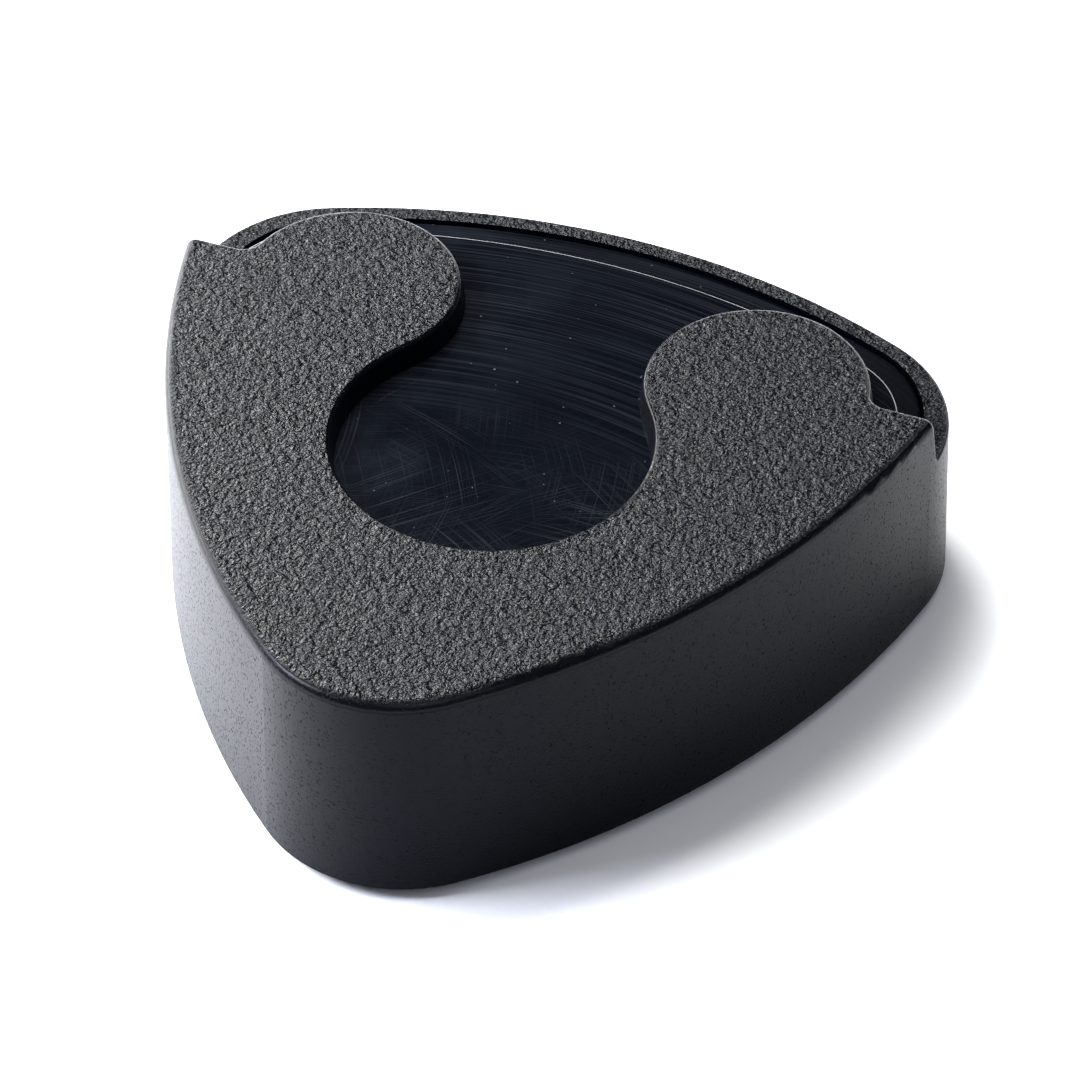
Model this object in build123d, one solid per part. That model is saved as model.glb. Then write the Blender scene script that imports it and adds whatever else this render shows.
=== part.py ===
"""Spring-loaded, self-adhesive pick holder: a rounded-triangle case whose C-shaped lip holds guitar picks
against a sprung platform.

Millimetres, +Z up, the tip towards -Y, the mouth for the picks towards +Y, origin under the middle.
"""
from build123d import *
from math import cos, hypot, pi, radians, sin, sqrt, tan
import os

# Case: a rounded triangle whose walls lean in a little from the base to the top
case_width = 38.4
case_length = 37.6
case_height = 11.6
wall_lean = 0.2
tip_radius = 7.2
corner_radius = 7.2
side_radius = 43.5
rear_radius = 37.9
side_wall = 1.5
rear_wall = 1.05
cavity_corner_radius = 5.7

# Lip: the plate over the picks, open in the middle and towards the rear
lip_thickness = 1.35
outer_edge_radius = 0.55
mouth_edge_radius = 0.25
mouth_edge_lean = 9.0
lip_end_y = 8.15
window_y = -0.1
window_radius = 7.6
lobe_x = 10.3
lobe_radius = 5.3
lobe_root_radius = 1.0
rim_height = 8.7
rim_edge_radius = 0.2

# Base plate, welded into a rebate under the case
plate_thickness = 1.4
plate_step = 0.5
plate_gap = 0.05
spring_ring_height = 1.0
spring_ring_wall = 1.0
spring_ring_gap = 0.3

# Adhesive pad and release liner under the base plate
pad_thickness = 1.0
pad_recess = 0.4
pad_inset = 1.6
pad_recess_gap = 0.1
liner_thickness = 0.1
liner_overhang = 0.3

# Platform that carries the picks
platform_gap = 0.2
platform_travel = 5.5
platform_stop_gap = 0.5
platform_plate = 1.2
shelf_foot_drop = 1.7
shelf_drop = 0.9
skirt_wall = 1.2
crest_side_inset = 0.6
crest_rear_inset = 2.7
crest_corner_radius = 4.5
crest_rear_radius = 39.0
crest_lean = 0.2
crest_edge_radius = 0.45
crest_wall = 0.9
boss_radius = 3.2
boss_bore_radius = 2.0
boss_height = 1.5

# Conical spring: its turns nest inside each other, so it closes nearly flat
wire_diameter = 0.6
spring_base_radius = 6.8
spring_top_radius = 3.7
spring_turns = 4.75
spring_end_turns = 0.9
spring_clearance = 0.02
points_per_turn = 16

# Heights worked out from the sizes above
case_bottom = liner_thickness + pad_thickness - pad_recess
case_top = case_bottom + case_height
lip_under = case_top - lip_thickness
rim_top = case_bottom + rim_height
plate_top = case_bottom + plate_thickness
platform_top = lip_under
shelf_foot = platform_top - shelf_foot_drop
shelf_top = platform_top - shelf_drop
skirt_bottom = plate_top + platform_travel + platform_stop_gap
platform_under = platform_top - platform_plate


def towards(start, end, distance):
    """The point that lies the given distance from start, on the line towards end."""
    length = hypot(end[0] - start[0], end[1] - start[1])
    share = distance / length
    return (start[0] + (end[0] - start[0]) * share, start[1] + (end[1] - start[1]) * share)


def arc_about(centre, radius, start, end):
    """The shorter arc about a centre, between two points on it."""
    middle = ((start[0] + end[0]) / 2, (start[1] + end[1]) / 2)
    return ThreePointArc(start, towards(centre, middle, radius), end)


def mirrored(point):
    return (-point[0], point[1])


class Triangle:
    """A rounded triangle of six tangent arcs, symmetric about X = 0, with its tip towards -Y."""

    def __init__(self, width, tip_y, rear_y, tip_r, corner_r, side_r, rear_r):
        self.size = (width, tip_y, rear_y, tip_r, corner_r, side_r, rear_r)

    def inset(self, distance):
        """The same outline moved inwards all round, or outwards by a negative distance."""
        width, tip_y, rear_y, tip_r, corner_r, side_r, rear_r = self.size
        return Triangle(width - 2 * distance, tip_y + distance, rear_y - distance, tip_r - distance,
                        corner_r - distance, side_r - distance, rear_r - distance)

    def face(self, z):
        width, tip_y, rear_y, tip_r, corner_r, side_r, rear_r = self.size
        tip = (0, tip_y + tip_r)
        rear = (0, rear_y - rear_r)
        corner_x = width / 2 - corner_r
        corner = (corner_x, rear[1] + sqrt((rear_r - corner_r) ** 2 - corner_x ** 2))
        side = circles_meet(tip, side_r - tip_r, corner, side_r - corner_r)
        front_joint = towards(side, tip, side_r)
        side_joint = towards(side, corner, side_r)
        rear_joint = towards(rear, corner, rear_r)
        edges = [
            ThreePointArc(mirrored(front_joint), (0, tip_y), front_joint),
            arc_about(side, side_r, front_joint, side_joint),
            arc_about(corner, corner_r, side_joint, rear_joint),
            ThreePointArc(rear_joint, (0, rear_y), mirrored(rear_joint)),
            arc_about(mirrored(corner), corner_r, mirrored(rear_joint), mirrored(side_joint)),
            arc_about(mirrored(side), side_r, mirrored(side_joint), mirrored(front_joint)),
        ]
        return Pos(0, 0, z) * make_face(edges)

    def prism(self, bottom, top):
        return extrude(self.face(bottom), amount=top - bottom, dir=(0, 0, 1))


def circles_meet(first, first_r, second, second_r):
    """Where two circles cross, on the left of the line from the first centre to the second."""
    gap_x = second[0] - first[0]
    gap_y = second[1] - first[1]
    gap = hypot(gap_x, gap_y)
    along = (gap ** 2 + first_r ** 2 - second_r ** 2) / (2 * gap)
    across = sqrt(first_r ** 2 - along ** 2)
    return (first[0] + (gap_x * along - gap_y * across) / gap,
            first[1] + (gap_y * along + gap_x * across) / gap)


def tapered(lower, z_lower, upper, z_upper):
    """A solid with straight walls from one outline to another."""
    return loft([lower.face(z_lower), upper.face(z_upper)], ruled=True)


def tube(outer_radius, inner_radius, height):
    """An upright ring that stands on Z = 0."""
    return extrude(Circle(outer_radius) - Circle(inner_radius), amount=height)


case_outline = Triangle(case_width, -case_length / 2, case_length / 2, tip_radius, corner_radius,
                        side_radius, rear_radius)
cavity = Triangle(case_width - 2 * side_wall, side_wall - case_length / 2, case_length / 2 - rear_wall,
                  tip_radius - side_wall, cavity_corner_radius, side_radius - side_wall,
                  rear_radius - rear_wall)
platform_outline = cavity.inset(platform_gap)
rebate = cavity.inset(-plate_step)
pad_outline = case_outline.inset(side_wall + pad_inset)


def crest_outline():
    """The edge of the platform's flat top, far in at the rear, where the shelf is."""
    width, tip_y, rear_y, tip_r, _, side_r, _ = platform_outline.size
    inset = crest_side_inset
    return Triangle(width - 2 * inset, tip_y + inset, rear_y - crest_rear_inset, tip_r - inset,
                    crest_corner_radius, side_r - inset, crest_rear_radius)


def mouth_face(z):
    """The window, the lobes' outline and everything behind the lip's ends, as one face. The edges of all
    of it lean outwards going up, so the outline is smaller further down."""
    lean = (case_top - z) * tan(radians(mouth_edge_lean))
    far = case_width
    window = (0, window_y)
    lobe = (lobe_x, window_y + sqrt((window_radius + lobe_radius) ** 2 - lobe_x ** 2))
    root_y = lip_end_y + lobe_root_radius
    root_x = lobe_x + sqrt((lobe_radius + lobe_root_radius) ** 2 - (root_y - lobe[1]) ** 2)
    root = (root_x, root_y)
    neck = towards(window, lobe, window_radius - lean)
    lobe_back = (lobe_x, lobe[1] + lobe_radius + lean)
    root_joint = towards(lobe, root, lobe_radius + lean)
    end_y = lip_end_y + lean
    end_joint = (root_x, end_y)
    edges = [
        ThreePointArc(neck, (0, window_y - window_radius + lean), mirrored(neck)),
        ThreePointArc(mirrored(neck), mirrored(lobe_back), mirrored(root_joint)),
        arc_about(mirrored(root), lobe_root_radius - lean, mirrored(root_joint), mirrored(end_joint)),
        Line(mirrored(end_joint), (-far, end_y)),
        Line((-far, end_y), (-far, far)),
        Line((-far, far), (far, far)),
        Line((far, far), (far, end_y)),
        Line((far, end_y), end_joint),
        arc_about(root, lobe_root_radius - lean, end_joint, root_joint),
        ThreePointArc(root_joint, lobe_back, neck),
    ]
    return Pos(0, 0, z) * make_face(edges)


def mouth_edges(solid):
    """The top edges of the window, the lobes and the lip's ends, and the upright edges at those ends."""
    inner = case_outline.inset(outer_edge_radius + 2 * wall_lean).prism(rim_top, case_top + lip_thickness)
    on_top = [edge for edge in solid.edges() if edge.bounding_box().min.Z > case_top - 0.01
              and inner.is_inside(edge.center())]
    end_faces = [face for face in solid.faces() if face.geom_type == GeomType.PLANE
                 and abs(face.normal_at().Y) > 0.9 and face.center().Z > rim_top]
    end_edges = [edge for face in end_faces for edge in face.edges()]
    at_wall = [edge for edge in end_edges if abs(edge.center().X) > case_width / 2 - side_wall
               and edge.bounding_box().max.Z > rim_top + 0.01]
    return on_top + at_wall


def rim_edges(solid):
    """The rim's outer edges, from one lip end round the rear to the other."""
    inside = cavity.inset(-rear_wall / 2).prism(case_bottom, case_top)
    at_rim = [edge for edge in solid.edges() if abs(edge.center().Z - rim_top) < rim_edge_radius / 10]
    return [edge for edge in at_rim if not inside.is_inside(edge.center())]


def make_case():
    body = tapered(case_outline, case_bottom, case_outline.inset(wall_lean), case_top)
    body = fillet(body.faces().sort_by(Axis.Z)[-1].edges(), outer_edge_radius)
    body -= cavity.prism(case_bottom, lip_under)
    body -= rebate.prism(case_bottom, plate_top)
    body -= loft([mouth_face(rim_top), mouth_face(case_top + lip_thickness)], ruled=True)
    body = fillet(mouth_edges(body), mouth_edge_radius)
    return fillet(rim_edges(body), rim_edge_radius)


def make_base_plate():
    plate = rebate.inset(plate_gap).prism(case_bottom, plate_top)
    plate -= pad_outline.inset(-pad_recess_gap).prism(case_bottom, case_bottom + pad_recess)
    bore_radius = spring_base_radius + wire_diameter / 2 + spring_ring_gap
    ring = tube(bore_radius + spring_ring_wall, bore_radius, spring_ring_height)
    return plate + Pos(0, 0, plate_top) * ring


def make_platform():
    """A plateau for the picks, with a gently sloping shelf round it on which a pick's edge starts."""
    crest = crest_outline()
    foot = crest.inset(-crest_lean)
    body = tapered(foot, shelf_top, crest, platform_top)
    body += tapered(platform_outline, shelf_foot, foot, shelf_top)
    body = fillet(body.faces().sort_by(Axis.Z)[-1].edges(), crest_edge_radius)
    body += platform_outline.prism(skirt_bottom, shelf_foot)
    inside_skirt = platform_outline.inset(skirt_wall)
    body -= tapered(inside_skirt, skirt_bottom, crest.inset(crest_wall), platform_under)
    return body + Pos(0, 0, platform_under - boss_height) * tube(boss_radius, boss_bore_radius, boss_height)


def make_spring():
    """A wire swept along a cone, with a flat turn at each end and an even climb between them."""
    wire_radius = wire_diameter / 2
    low = plate_top + wire_radius + spring_clearance
    high = platform_under - wire_radius - spring_clearance
    steps = round(spring_turns * points_per_turn)
    climb_turns = spring_turns - 2 * spring_end_turns
    points = []
    for step in range(steps + 1):
        turns = spring_turns * step / steps
        climb = min(max((turns - spring_end_turns) / climb_turns, 0), 1)
        climb = climb - sin(2 * pi * climb) / (2 * pi) / 2
        radius = spring_base_radius + (spring_top_radius - spring_base_radius) * turns / spring_turns
        angle = 2 * pi * turns
        points.append((radius * cos(angle), radius * sin(angle), low + (high - low) * climb))
    path = Spline(points)
    section = Plane(origin=path @ 0, z_dir=path % 0) * Circle(wire_radius)
    return sweep(section, path=path)


def make_pad():
    bottom = liner_thickness
    return pad_outline.prism(bottom, bottom + pad_thickness)


def make_liner():
    return pad_outline.inset(-liner_overhang).prism(0, liner_thickness)


nodes = {
    "case": make_case(),
    "base_plate": make_base_plate(),
    "platform": make_platform(),
    "spring": make_spring(),
    "adhesive_pad": make_pad(),
    "release_liner": make_liner(),
}

os.makedirs("parts", exist_ok=True)
for name, shape in nodes.items():
    export_step(shape, f"parts/{name}.step")
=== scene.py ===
from math import atan2, cos, pi, radians, sin

import bpy
from mathutils import Matrix, Vector


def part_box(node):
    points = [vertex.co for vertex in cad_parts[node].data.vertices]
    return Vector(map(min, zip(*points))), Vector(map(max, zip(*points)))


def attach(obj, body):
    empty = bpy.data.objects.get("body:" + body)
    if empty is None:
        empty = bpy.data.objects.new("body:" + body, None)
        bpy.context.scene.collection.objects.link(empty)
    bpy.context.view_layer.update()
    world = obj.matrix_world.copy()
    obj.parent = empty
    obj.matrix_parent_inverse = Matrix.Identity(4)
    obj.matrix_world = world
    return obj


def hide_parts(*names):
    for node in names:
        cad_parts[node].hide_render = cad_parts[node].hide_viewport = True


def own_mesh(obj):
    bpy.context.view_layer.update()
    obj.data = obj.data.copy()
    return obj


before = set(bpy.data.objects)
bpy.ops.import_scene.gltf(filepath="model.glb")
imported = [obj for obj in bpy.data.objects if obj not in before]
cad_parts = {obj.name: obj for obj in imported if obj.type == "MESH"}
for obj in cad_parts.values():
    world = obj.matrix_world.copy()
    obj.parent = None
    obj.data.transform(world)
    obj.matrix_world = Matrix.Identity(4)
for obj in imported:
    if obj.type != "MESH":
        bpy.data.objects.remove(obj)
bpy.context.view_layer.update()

MM = 0.001

# ---------------------------------------------------------------- camera

VIEW_AZIMUTH = 21.16
VIEW_ELEVATION = 43.42
VIEW_ROLL = -0.486
VIEW_DISTANCE = 0.29458
VIEW_LENS = 204.0
VIEW_TARGET = Vector((0.000527, 0.004596, 0.001658))


def make_camera():
    azimuth, elevation, roll = radians(VIEW_AZIMUTH), radians(VIEW_ELEVATION), radians(VIEW_ROLL)
    back = Vector((sin(azimuth) * cos(elevation), -cos(azimuth) * cos(elevation), sin(elevation)))
    right = Vector((cos(azimuth), sin(azimuth), 0))
    up = back.cross(right)
    rolled_right = right * cos(roll) + up * sin(roll)
    rolled_up = up * cos(roll) - right * sin(roll)
    data = bpy.data.cameras.new("camera")
    data.sensor_width = 36.0
    data.lens = VIEW_LENS
    data.clip_start = 0.01
    data.clip_end = 20.0
    camera = bpy.data.objects.new("camera", data)
    turned = Matrix((rolled_right, rolled_up, back)).transposed().to_4x4()
    camera.matrix_world = Matrix.Translation(VIEW_TARGET + back * VIEW_DISTANCE) @ turned
    bpy.context.scene.collection.objects.link(camera)
    bpy.context.scene.camera = camera


# ---------------------------------------------------------------- node helpers


class Nodes:
    """A small builder for one material's node tree."""

    def __init__(self, name):
        self.material = bpy.data.materials.new(name)
        self.material.use_nodes = True
        self.tree = self.material.node_tree
        self.tree.nodes.clear()
        self.shader = self.tree.nodes.new("ShaderNodeBsdfPrincipled")
        output = self.tree.nodes.new("ShaderNodeOutputMaterial")
        self.tree.links.new(self.shader.outputs["BSDF"], output.inputs["Surface"])
        coordinates = self.tree.nodes.new("ShaderNodeTexCoord")
        self.position = self.scaled(coordinates.outputs["Object"], 1 / MM)
        self.normal = coordinates.outputs["Normal"]

    def put(self, socket, value):
        if isinstance(value, bpy.types.NodeSocket):
            self.tree.links.new(value, socket)
        else:
            socket.default_value = value

    def node(self, kind, values, **settings):
        node = self.tree.nodes.new(kind)
        for key, value in settings.items():
            setattr(node, key, value)
        for key, value in values.items():
            self.put(node.inputs[key], value)
        return node

    def scaled(self, vector, scale):
        return self.node("ShaderNodeVectorMath", {0: vector, "Scale": scale}, operation="SCALE").outputs[0]

    def mapped(self, vector, scale=(1, 1, 1), turn=(0, 0, 0), offset=(0, 0, 0)):
        values = {"Vector": vector, "Scale": scale, "Rotation": turn, "Location": offset}
        return self.node("ShaderNodeMapping", values).outputs[0]

    def noise(self, scale, detail=2.0, rough=0.5, vector=None):
        values = {"Vector": vector or self.position, "Scale": scale, "Detail": detail, "Roughness": rough}
        return self.node("ShaderNodeTexNoise", values).outputs["Fac"]

    def cells(self, scale):
        values = {"Vector": self.position, "Scale": scale}
        return self.node("ShaderNodeTexVoronoi", values, feature="F1").outputs["Distance"]

    def maths(self, operation, first, second=0.0):
        return self.node("ShaderNodeMath", {0: first, 1: second}, operation=operation).outputs[0]

    def times(self, first, second):
        return self.maths("MULTIPLY", first, second)

    def plus(self, first, second):
        return self.maths("ADD", first, second)

    def joined(self, x, y):
        return self.node("ShaderNodeCombineXYZ", {0: x, 1: y}).outputs[0]

    def ramp(self, value, low, high, out_low=0.0, out_high=1.0):
        """Out_low up to low, out_high from high, and smooth between them. Low may be the larger."""
        values = {"Value": value, "From Min": low, "From Max": high, "To Min": out_low, "To Max": out_high}
        return self.node("ShaderNodeMapRange", values, interpolation_type="SMOOTHSTEP").outputs["Result"]

    def mix(self, factor, first, second):
        """A number between two numbers."""
        return self.node("ShaderNodeMix", {0: factor, 2: first, 3: second}, data_type="FLOAT").outputs[0]

    def mix_colour(self, factor, first, second):
        return self.node("ShaderNodeMix", {0: factor, 6: first, 7: second}, data_type="RGBA").outputs[2]

    def part(self, vector, axis):
        return self.node("ShaderNodeSeparateXYZ", {0: vector}).outputs[axis]

    def bump(self, height, depth, normal=None):
        """A bump from a height of 0 to 1 that is worth depth millimetres."""
        values = {"Height": height, "Distance": depth * MM, "Strength": 1.0}
        if normal is not None:
            values["Normal"] = normal
        return self.node("ShaderNodeBump", values).outputs[0]

    def set(self, **values):
        for key, value in values.items():
            self.put(self.shader.inputs[key.replace("_", " ")], value)


def grey(value, blue=0.0):
    """A colour of that brightness, with its blue raised by that share."""
    return (value, value * (1 + blue * 0.4), value * (1 + blue), 1.0)


# ---------------------------------------------------------------- materials
# Places and depths are in millimetres, and a noise scale is in cycles to the millimetre.

FACES_UP = (0.80, 0.97)  # the rise of the normal where the top's grain starts, and where it is whole
ROUNDED = (0.10, 0.35)  # the same for the smooth band along an edge
GRAIN_DEPTH = 0.20
WALL_DEPTH = 0.012
WALL_TINT = (0.04, 0.07, 0.14, 1)  # the walls shine only at a grazing angle
WALL_PAINT = (0.0004, 0.0008, 0.0019, 1)

REAR_MIDDLE = -20.2  # where the arc of the rear edge has its middle, in y
ARCS_ACROSS = 12.0  # noise scale across the arcs, and along them
ARCS_ALONG = 0.07
SCRATCH_ALONG = 0.07
SCRATCH_BOW = 0.02  # a scratch bends aside by this times the square of its place along
SCRATCH_DEPTH = 0.0006
# Each direction's turn in degrees, and its noise scale across the lines
SCRATCHES = ((24, 15.0), (-32, 13.0), (58, 17.0), (-64, 14.0), (-12, 18.0), (80, 16.0), (42, 14.0))
PLATFORM_BLACK = (0.0005, 0.0008, 0.0016, 1)
# The next colour is a painted sheen: the key light's haze on the gloss, put into the colour.
PLATFORM_PAINTED_SHEEN = (0.0028, 0.0036, 0.0052, 1)
PLATFORM_MARKS = (0.0125, 0.0138, 0.0170, 1)


def case_plastic():
    """Black plastic: a coarse grain on what faces up, its beads carrying painted glints in the colour, small
    pits on the walls, and smooth edges.
    """
    n = Nodes("case_plastic")
    rise = n.part(n.normal, 2)
    upward = n.ramp(rise, *FACES_UP)
    rounding = n.times(n.ramp(rise, *ROUNDED), n.maths("SUBTRACT", 1.0, upward))
    lumps = n.ramp(n.noise(2.2, 2.0, 0.6), 0.3, 0.7)
    grit = n.ramp(n.noise(8.0, 2.0, 0.6), 0.42, 0.70)
    elsewhere = n.mapped(n.position, offset=(7, 3, 5))
    beads_and_painted_glints = n.ramp(n.noise(5.6, 0.0, 0.5, vector=elsewhere), 0.60, 0.74)
    coarse = n.plus(n.plus(n.times(grit, 0.4), n.times(beads_and_painted_glints, 0.4)), n.times(lumps, 0.9))
    fine = n.noise(9.0, 2.0, 0.65)
    pits = n.ramp(n.noise(8.0, 1.0, 0.5), 0.32, 0.40)
    wall = n.bump(n.plus(n.times(fine, 0.6), n.times(pits, 0.6)), WALL_DEPTH)
    n.set(Normal=n.bump(n.times(coarse, upward), GRAIN_DEPTH, normal=wall))
    tone = n.times(grit, n.ramp(lumps, 0.0, 1.0, 0.55, 1.0))
    top_colour = n.mix_colour(tone, grey(0.002, 0.2), grey(0.028, 0.2))
    # Painted glints: where the beads meet the grit their colour turns a lighter grey, standing in for the
    # lamps' sparkle on the grain.
    top_colour = n.mix_colour(n.times(beads_and_painted_glints, grit), top_colour, grey(0.085, 0.12))
    side_colour = n.mix_colour(pits, grey(0.0001), WALL_PAINT)
    n.set(Base_Color=n.mix_colour(upward, side_colour, top_colour))
    side_rough = n.mix(rounding, n.mix(pits, 0.70, 0.40), 0.30)
    n.set(Roughness=n.mix(upward, side_rough, n.ramp(tone, 0.1, 0.6, 0.14, 0.46)))
    shine = n.mix_colour(rounding, WALL_TINT, grey(1.0))
    n.set(Specular_Tint=n.mix_colour(upward, shine, grey(1.0)), IOR=1.25)
    return n.material


def rear_arcs(n, x, y):
    """Fine wear lines that follow the rear edge, fading out towards the tip."""
    from_middle = n.plus(y, -REAR_MIDDLE)
    radius = n.maths("SQRT", n.plus(n.times(x, x), n.times(from_middle, from_middle)))
    round_the_back = n.joined(n.times(radius, ARCS_ACROSS), n.times(x, ARCS_ALONG))
    arcs = n.ramp(n.noise(1.0, 1.0, 0.5, vector=round_the_back), 0.42, 0.80)
    return n.times(arcs, n.times(n.ramp(y, -1.0, 7.0), 0.55))


def crossing_scratches(n, x, y, marks):
    """Marks with slightly bowed hairlines added. Each direction has its own patches and fades to the rear."""
    bent_x = n.plus(x, n.times(n.times(y, y), SCRATCH_BOW))
    bent_y = n.plus(y, n.times(n.times(x, x), SCRATCH_BOW))
    bent = n.joined(bent_x, bent_y)
    toward_tip = n.ramp(y, 6.0, -3.0)
    for turn, across in SCRATCHES:
        turned = n.mapped(bent, turn=(0, 0, radians(turn)), offset=(turn, across, 0))
        lines = n.mapped(turned, scale=(across, SCRATCH_ALONG, 0.2))
        scratch = n.ramp(n.noise(1.0, 0.0, 0.5, vector=lines), 0.54, 0.92)
        place = n.mapped(n.position, offset=(turn, 0, 9))
        patch = n.ramp(n.noise(0.22, 1.0, 0.5, vector=place), 0.38, 0.74)
        marks = n.maths("MAXIMUM", marks, n.times(scratch, n.times(patch, toward_tip)))
    return marks


def platform_plastic():
    """Polished black plastic with the fine scratches that picks leave, and a painted sheen that is lighter
    towards the left.
    """
    n = Nodes("platform_plastic")
    x, y = n.part(n.position, 0), n.part(n.position, 1)
    marks = crossing_scratches(n, x, y, rear_arcs(n, x, y))
    specks = n.ramp(n.noise(4.5, 0.0, 0.5), 0.85, 0.88)
    # Painted sheen: the colour is lifted in soft patches towards the left, standing in for the key light's
    # haze on the gloss.
    painted_sheen = n.times(n.ramp(n.noise(0.25, 3.0, 0.6), 0.35, 0.75), n.ramp(x, 9.0, -10.0))
    colour = n.mix_colour(painted_sheen, PLATFORM_BLACK, PLATFORM_PAINTED_SHEEN)
    colour = n.mix_colour(marks, colour, PLATFORM_MARKS)
    n.set(Base_Color=n.mix_colour(specks, colour, grey(0.04)))
    n.set(Roughness=n.ramp(marks, 0.0, 1.0, 0.07, 0.12), IOR=1.42)
    n.set(Normal=n.bump(marks, SCRATCH_DEPTH))
    return n.material


def plate_plastic():
    n = Nodes("plate_plastic")
    n.set(Base_Color=grey(0.02, 0.1), Roughness=n.ramp(n.noise(3.0, 4.0), 0.3, 0.7, 0.35, 0.5), IOR=1.5)
    n.set(Normal=n.bump(n.noise(8.0, 4.0), 0.006))
    return n.material


def spring_steel():
    n = Nodes("spring_steel")
    streaks = n.noise(6.0, 3.0, vector=n.mapped(n.position, (1, 1, 6)))
    n.set(Base_Color=n.mix_colour(streaks, grey(0.42), grey(0.62)), Metallic=1.0)
    n.set(Roughness=n.ramp(streaks, 0.3, 0.7, 0.2, 0.34), Normal=n.bump(streaks, 0.004))
    return n.material


def pad_foam():
    n = Nodes("pad_foam")
    foam = n.cells(6.0)
    n.set(Base_Color=n.mix_colour(foam, grey(0.03), grey(0.07)), Roughness=0.85)
    n.set(Normal=n.bump(foam, 0.05))
    return n.material


def liner_film():
    n = Nodes("liner_film")
    cloud = n.noise(0.4, 3.0)
    n.set(Base_Color=n.mix_colour(cloud, (0.78, 0.74, 0.66, 1), (0.85, 0.82, 0.76, 1)))
    n.set(Roughness=n.ramp(cloud, 0.3, 0.7, 0.22, 0.34), Normal=n.bump(n.noise(0.5, 2.0), 0.02))
    return n.material


def floor_paper():
    n = Nodes("floor_paper")
    n.set(Base_Color=grey(0.9), Roughness=0.9)
    n.set(Normal=n.bump(n.noise(0.9, 3.0), 0.05))
    return n.material


# ---------------------------------------------------------------- pieces

SPRING_WIRE = 0.6 * MM  # diameter
SPRING_BASE = 6.8 * MM  # radius where the lowest turn starts
SPRING_TOP = 3.7 * MM  # radius where the highest turn ends
SPRING_TURNS = 4.75
SPRING_END_TURNS = 0.9  # turns that lie flat at each end
STEPS_PER_TURN = 64
WIRE_SIDES = 20
PAD_RINGS = 10
PAD_PINCH = 0.010  # how far the pad's top and bottom edges are drawn in, as a share of its reach
PAD_FACE_RINGS = (0.0, 0.45, 0.85)  # shares of the reach where a flat face has its rings
PAD_LEAST_RING = 0.02  # the innermost ring stays open by this share
SAME_HEIGHT = 0.1 * MM  # vertices this near the pad's underside belong to its outline


def add_mesh(name, vertices, faces, smooth=True):
    mesh = bpy.data.meshes.new(name)
    mesh.from_pydata(vertices, [], faces)
    mesh.validate()
    if smooth:
        mesh.shade_smooth()
    piece = bpy.data.objects.new(name, mesh)
    bpy.context.scene.collection.objects.link(piece)
    return piece


def tube_rings(points, radius, sides):
    """Rings of vertices round a path, each kept upright, and the faces that join them."""
    vertices, faces = [], []
    last = len(points) - 1
    for index, point in enumerate(points):
        ahead = (points[min(index + 1, last)] - points[max(index - 1, 0)]).normalized()
        across = ahead.cross(Vector((0, 0, 1))).normalized()
        up = across.cross(ahead)
        for side in range(sides):
            angle = 2 * pi * side / sides
            vertices.append(point + across * radius * cos(angle) + up * radius * sin(angle))
    for index in range(last):
        for side in range(sides):
            low, high = index * sides, (index + 1) * sides
            after = (side + 1) % sides
            faces.append((low + side, low + after, high + after, high + side))
    faces.append(tuple(range(sides))[::-1])
    faces.append(tuple(last * sides + side for side in range(sides)))
    return vertices, faces


def make_spring():
    """A conical wire spring with a flat turn at each end."""
    low, high = (corner.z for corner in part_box("spring"))
    wire_radius = SPRING_WIRE / 2
    steps = round(SPRING_TURNS * STEPS_PER_TURN)
    points = []
    for step in range(steps + 1):
        turns = SPRING_TURNS * step / steps
        climb = min(max((turns - SPRING_END_TURNS) / (SPRING_TURNS - 2 * SPRING_END_TURNS), 0), 1)
        climb -= sin(2 * pi * climb) / (4 * pi)  # leaves each flat turn gently
        radius = SPRING_BASE + (SPRING_TOP - SPRING_BASE) * turns / SPRING_TURNS
        height = low + wire_radius + (high - low - SPRING_WIRE) * climb
        points.append(Vector((radius * cos(2 * pi * turns), radius * sin(2 * pi * turns), height)))
    piece = add_mesh("coil_spring", *tube_rings(points, wire_radius, WIRE_SIDES))
    piece.data.materials.append(spring_steel())
    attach(piece, "case")
    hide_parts("spring")
    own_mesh(piece)


def make_pad():
    """A closed-cell foam pad with a cut edge that bulges a little between its two sticky faces."""
    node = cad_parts["adhesive_pad"]
    low, high = (corner.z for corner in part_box("adhesive_pad"))
    outline = [vertex.co.xy for vertex in node.data.vertices if vertex.co.z < low + SAME_HEIGHT]
    outline = sorted({(round(p.x, 7), round(p.y, 7)) for p in outline}, key=lambda p: -atan2(p[0], p[1]))
    middle = Vector((0, sum(p[1] for p in outline) / len(outline)))
    profile = []
    for step in range(PAD_RINGS + 1):
        share = step / PAD_RINGS
        profile.append((1 - PAD_PINCH * (2 * share - 1) ** 4, low + (high - low) * share))
    underside = [(share, low) for share in PAD_FACE_RINGS]
    top = [(share, high) for share in reversed(PAD_FACE_RINGS)]
    profile = underside + profile + top
    vertices, faces = [], []
    count = len(outline)
    for scale, height in profile:
        for x, y in outline:
            flat = middle + (Vector((x, y)) - middle) * max(scale, PAD_LEAST_RING)
            vertices.append((flat.x, flat.y, height))
    for ring in range(len(profile) - 1):
        for side in range(count):
            after = (side + 1) % count
            start, end = ring * count, (ring + 1) * count
            faces.append((start + side, end + side, end + after, start + after))
    faces.append(tuple(range(count)))
    faces.append(tuple((len(profile) - 1) * count + side for side in range(count))[::-1])
    piece = add_mesh("foam_pad", vertices, faces)
    piece.data.materials.append(pad_foam())
    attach(piece, "case")
    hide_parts("adhesive_pad")


# ---------------------------------------------------------------- studio

FLOOR_WIDTH = 3.0
WORLD_COLOUR = (0.80, 0.90, 1.0, 1.0)
WORLD_STRENGTH = 0.06
COOL = (0.82, 0.86, 1.0)
WARM = (1.0, 0.98, 0.95)


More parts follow.
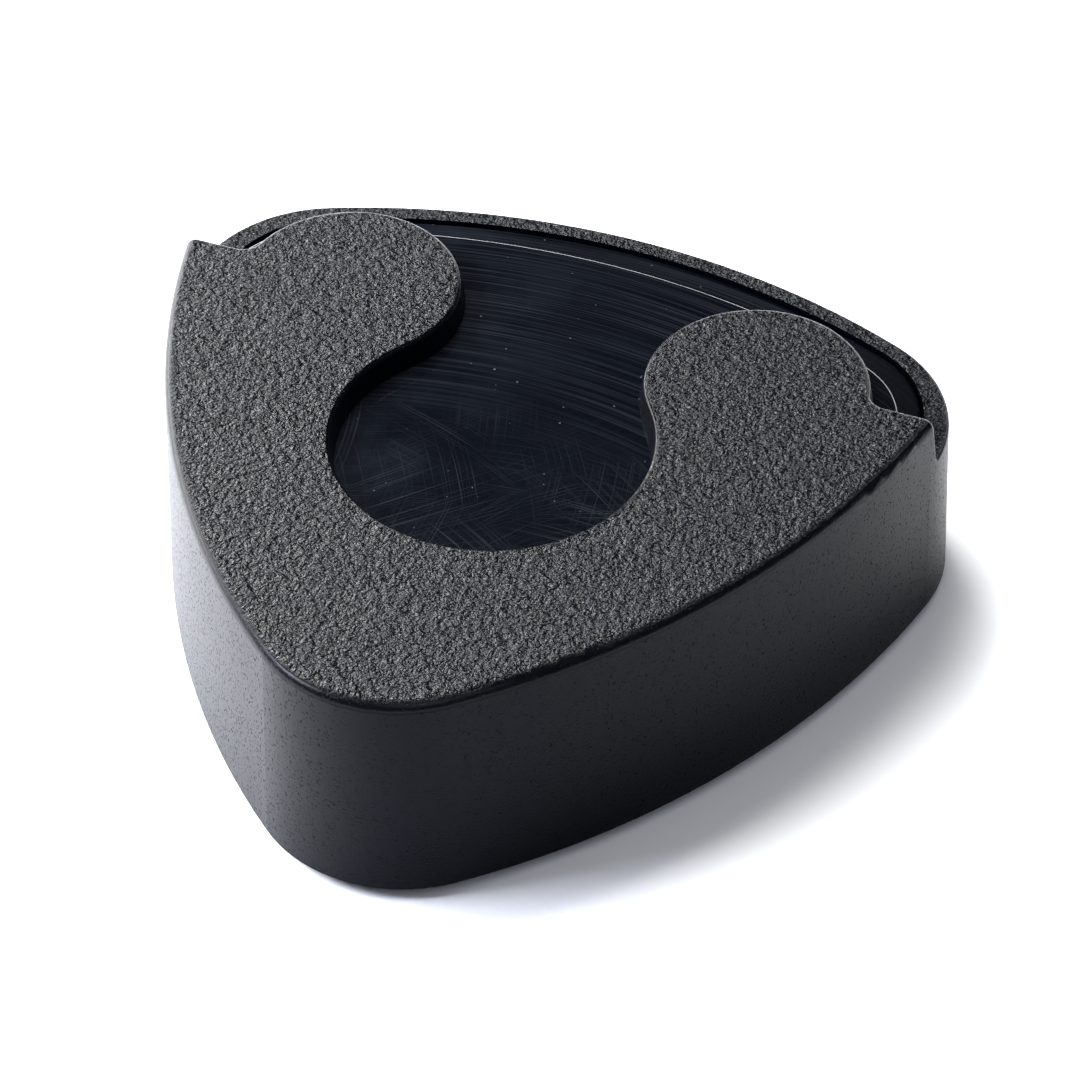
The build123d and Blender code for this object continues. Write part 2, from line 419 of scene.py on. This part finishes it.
def make_floor():
    half = FLOOR_WIDTH / 2
    floor = add_mesh("floor", [(-half, -half, 0), (half, -half, 0), (half, half, 0), (-half, half, 0)],
                     [(0, 1, 2, 3)], smooth=False)
    floor.data.materials.append(floor_paper())


def add_softbox(name, azimuth, elevation, distance, size, power, colour=(1, 1, 1)):
    """An area light that faces the object. Azimuth 0 is behind it, +Y, and 90 is to its right, +X."""
    a, e = radians(azimuth), radians(elevation)
    place = Vector((sin(a) * cos(e), cos(a) * cos(e), sin(e))) * distance
    data = bpy.data.lights.new(name, "AREA")
    data.shape = "RECTANGLE"
    data.size, data.size_y = size
    data.energy = power
    data.color = colour
    light = bpy.data.objects.new(name, data)
    light.visible_camera = False
    light.location = place
    light.rotation_euler = place.to_track_quat("Z", "Y").to_euler()
    bpy.context.scene.collection.objects.link(light)


def make_world():
    world = bpy.data.worlds.new("studio")
    bpy.context.scene.world = world
    world.use_nodes = True
    background = world.node_tree.nodes["Background"]
    background.inputs["Color"].default_value = WORLD_COLOUR
    background.inputs["Strength"].default_value = WORLD_STRENGTH


def make_studio():
    make_floor()
    make_world()
    add_softbox("key", azimuth=-50, elevation=70, distance=0.13, size=(0.07, 0.07), power=0.43)
    add_softbox("left", azimuth=-105, elevation=42, distance=0.16, size=(0.12, 0.06), power=0.78, colour=COOL)
    add_softbox("top", azimuth=60, elevation=80, distance=0.60, size=(0.40, 0.40), power=0.70)
    add_softbox("fill", azimuth=140, elevation=50, distance=0.60, size=(0.40, 0.40), power=0.8, colour=COOL)
    add_softbox("edge", azimuth=-68, elevation=12, distance=0.12, size=(0.12, 0.020), power=0.17, colour=WARM)


MATERIALS = {
    "case": case_plastic,
    "platform": platform_plastic,
    "base_plate": plate_plastic,
    "spring": spring_steel,
    "adhesive_pad": pad_foam,
    "release_liner": liner_film,
}
for name, make in MATERIALS.items():
    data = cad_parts[name].data
    data.materials.clear()
    data.materials.append(make())

make_camera()
make_spring()
make_pad()
make_studio()
bpy.context.scene.view_settings.view_transform = "Standard"
bpy.context.scene.cycles.use_denoising = True
